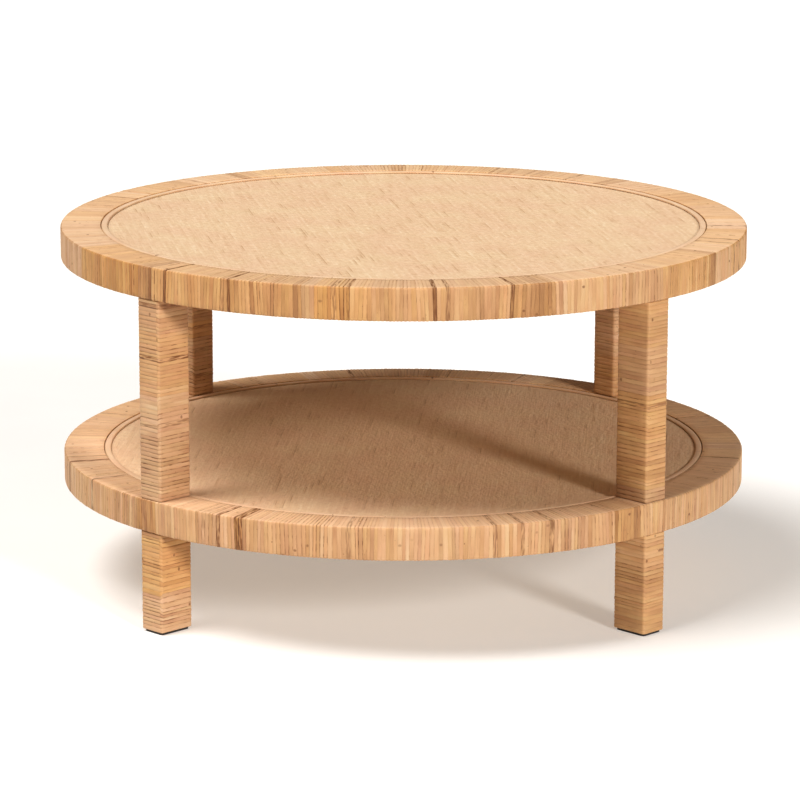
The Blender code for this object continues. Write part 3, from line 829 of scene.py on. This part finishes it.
def mat_material(name):
    """Woven strands: each has its own tone, thin dark dashes along one edge, small bumps, and painted
    shade at its sides and by the bead.
    """
    graph = Graph(name)
    strand = graph.strand()
    over, weft_number, edge, _ = strand.looks
    own = graph.random(strand.number)
    weft_own = graph.random(graph.times(weft_number, WEFT_NUMBERS))
    under = graph.math("SUBTRACT", 1.0, over)
    lane = graph.plus(graph.times(over, own), graph.times(under, weft_own))
    strip = graph.times(strand.number, 5.17)
    warp = graph.plus(strand.number, strand.across)
    weft = graph.math("DIVIDE", strand.along, STRAND_PITCH)
    dash = graph.noise(graph.vector(strip, graph.times(strand.along, 11.0)), 1.0, 1.5, 0.6)
    fine = graph.noise(graph.vector(strip, graph.times(strand.along, 170.0)), 1.0, 2.0)
    speck = graph.noise(graph.vector(graph.times(warp, 0.75), graph.times(weft, 0.3)), 1.0, 1.5)
    place = graph.vector(graph.times(warp, 0.05), graph.times(strand.along, 14.0), 3.0)
    patch = graph.noise(place, 1.0, 2.0)
    level = graph.vary(0.5, lane, 0.12)
    for source, amount in ((dash, 0.7), (fine, 0.35), (speck, 0.6), (patch, 0.3)):
        level = graph.vary(level, source, amount)
    colour = graph.tint(graph.ramp(level, MAT), graph.ramp(patch, MAT_BLUSH))
    colour = graph.mix(mat_dashes(graph, strand, dash, own), colour, MAT_DASH)
    # painted shade: each strand is a little darker towards its sides, between strands
    colour = graph.scale(colour, graph.remap(strand.side, 0.36, 0.5, 1.0, 0.95))
    # painted shade: the mat is darker near the bead, in the recess below the rim
    colour = graph.scale(colour, graph.remap(edge, 0.0, 1.0, 1.0, 0.88))
    graph.set(Base_Color=colour, Roughness=graph.remap(fine, 0.2, 0.8, 0.5, 0.7))
    graph.bump(speck, 1.0, 1.2 * MM)
    return graph.material


def mat_dashes(graph, strand, dash, own):
    """Dark dashes on some strands, faint across most of the strand and strong along one edge."""
    dark = graph.times(graph.remap(dash, 0.42, 0.31), graph.remap(own, 0.3, 0.7))
    return graph.times(dark, graph.remap(strand.across, 0.6, 0.85, 0.12, 0.6))


def wood_material(name, stretch, colours, rings=12.0):
    """Plain wood whose grain runs along the axis that stretch leaves short."""
    light, dark = colours
    graph = Graph(name)
    place = graph.add("ShaderNodeTexCoord", {}).outputs["Object"]
    grain_place = graph.add("ShaderNodeMapping", {0: place, "Scale": stretch}).outputs[0]
    warp = graph.noise(grain_place, 1.0, 3.0)
    grain = graph.noise(grain_place, rings, 4.0, 0.65)
    pores = graph.noise(grain_place, rings * 9.0, 2.0)
    level = graph.plus(graph.times(warp, 0.5), graph.times(grain, 0.5))
    colour = graph.ramp(level, [(0.3, dark), (0.7, light)])
    colour = graph.scale(colour, graph.remap(pores, 0.25, 0.45, 0.82, 1.0))
    graph.set(Base_Color=colour, Roughness=graph.remap(grain, 0.2, 0.8, 0.6, 0.8))
    graph.bump(pores, 0.25, 0.3 * MM)
    return graph.material


def speckled_material(name, colours, scale, roughness, metallic=0.0):
    """Moulded plastic or plated steel: fine mottling in colour and roughness."""
    light, dark = colours
    graph = Graph(name)
    place = graph.add("ShaderNodeTexCoord", {}).outputs["Object"]
    mottle = graph.noise(place, scale, 4.0, 0.6)
    rough = graph.remap(mottle, 0.3, 0.7, roughness * 0.8, roughness * 1.2)
    colour = graph.ramp(mottle, [(0.35, dark), (0.65, light)])
    graph.set(Base_Color=colour, Roughness=rough, Metallic=metallic)
    graph.bump(mottle, 0.15, 0.2 * MM)
    return graph.material


def dress_cad_nodes():
    """Procedural materials for the CAD nodes that stay, each by a part of its name."""
    along_x = wood_material("sawn_wood_along_x", (1.5, 22.0, 22.0), WOOD)
    along_y = wood_material("sawn_wood_along_y", (22.0, 1.5, 22.0), WOOD)
    along_z = wood_material("sawn_wood_along_z", (22.0, 22.0, 1.5), WOOD)
    ply = wood_material("plywood_face", (2.0, 14.0, 14.0), PLYWOOD, 6.0)
    dowel = wood_material("turned_dowel_wood", (30.0, 30.0, 30.0), DOWEL)
    steel = speckled_material("plated_steel", STEEL, 900.0, 0.35, 1.0)
    plastic = speckled_material("moulded_dark_plastic", PLASTIC, 700.0, 0.5)
    wardrobe = [
        (along_x, ("ring_segment_front", "ring_segment_back", "rail_left_right")),
        (along_y, ("ring_segment_left", "ring_segment_right", "rail_front_back")),
        (along_z, ("leg_post",)),
        (ply, ("_panel",)),
        (dowel, ("shelf_dowel",)),
        (steel, ("leg_screw", "glide_nail")),
        (plastic, ("foot_glide",)),
    ]
    for name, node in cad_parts.items():
        for material, parts in wardrobe:
            if any(part in name for part in parts):
                for slot in node.material_slots:
                    slot.material = material


# Stage, lights and camera


def add_floor():
    """A wide pale floor with a slight mottle, lit a little from within like a light table."""
    reach = FLOOR_REACH
    corners = [(-reach, -reach), (reach, -reach), (reach, reach), (-reach, reach)]
    points = np.array([(x, y, 0.0) for x, y in corners])
    graph = Graph("pale_floor")
    place = graph.add("ShaderNodeTexCoord", {}).outputs["Object"]
    mottle = graph.noise(place, 3.0, 3.0)
    graph.set(Base_Color=graph.ramp(mottle, FLOOR), Roughness=0.9, Specular_IOR_Level=0.1)
    graph.set(Emission_Color=FLOOR_LIGHT, Emission_Strength=FLOOR_GLOW)
    new_piece("floor", points, np.array([[0, 1, 2, 3]]), graph.material)


def add_sun(name, towards, degrees, energy):
    """A distant softbox, in the direction towards and as wide as degrees."""
    light = bpy.data.lights.new(name, "SUN")
    light.angle = math.radians(degrees)
    light.energy = energy
    lamp = bpy.data.objects.new(name, light)
    lamp.rotation_euler = Vector(towards).to_track_quat("Z", "Y").to_euler()
    bpy.context.collection.objects.link(lamp)


def add_studio():
    """A dim warm surround for the light, which looks plain white beyond the floor's edge."""
    world = bpy.data.worlds.new("studio")
    world.use_nodes = True
    nodes = world.node_tree.nodes
    links = world.node_tree.links
    surround = nodes["Background"]
    surround.inputs["Color"].default_value = WORLD_COLOUR
    surround.inputs["Strength"].default_value = WORLD_STRENGTH
    backdrop = nodes.new("ShaderNodeBackground")
    backdrop.inputs["Color"].default_value = WHITE
    seen = nodes.new("ShaderNodeLightPath").outputs["Is Camera Ray"]
    either = nodes.new("ShaderNodeMixShader")
    links.new(seen, either.inputs[0])
    links.new(surround.outputs[0], either.inputs[1])
    links.new(backdrop.outputs[0], either.inputs[2])
    links.new(either.outputs[0], nodes["World Output"].inputs["Surface"])
    bpy.context.scene.world = world


def add_lights():
    """A wide key from high on the left, and a lower fill from the front right."""
    add_sun("key", KEY_FROM, KEY_SIZE, KEY_ENERGY)
    add_sun("fill", FILL_FROM, FILL_SIZE, FILL_ENERGY)
    bpy.context.scene.view_settings.view_transform = "Standard"
    bpy.context.scene.view_settings.gamma = PICTURE_GAMMA


def add_camera():
    """A long lens, a little above the top, from straight in front."""
    camera = bpy.data.cameras.new("camera")
    camera.lens = CAMERA_LENS
    view = bpy.data.objects.new("camera", camera)
    view.location = CAMERA_PLACE
    turn = Matrix.Rotation(CAMERA_HEADING, 3, "Z")
    turn = turn @ Matrix.Rotation(math.pi / 2 - CAMERA_PITCH, 3, "X")
    view.rotation_euler = (turn @ Matrix.Rotation(CAMERA_ROLL, 3, "Z")).to_euler()
    bpy.context.collection.objects.link(view)
    bpy.context.scene.camera = view


def build_wrapping(material):
    rim_strips("top", TOP_BANDS, 11, material)
    rim_strips("shelf", SHELF_BANDS, 12, material)
    for number, corner in enumerate(CORNERS):
        leg_turns("upper", corner, 31 + number, material)
        leg_turns("lower", corner, 41 + number, material)


def build_beads(material):
    bead("top", 21, material)
    bead("shelf", 22, material)


def build_mats(material):
    woven_mat("top", TOP_SLANT, material)
    woven_mat("shelf", SHELF_SLANT, material)


add_camera()
add_lights()
add_studio()
add_floor()
dress_cad_nodes()
build_wrapping(rattan_material("split_rattan"))
build_beads(rattan_material("rattan_bead"))
build_mats(mat_material("woven_rattan"))
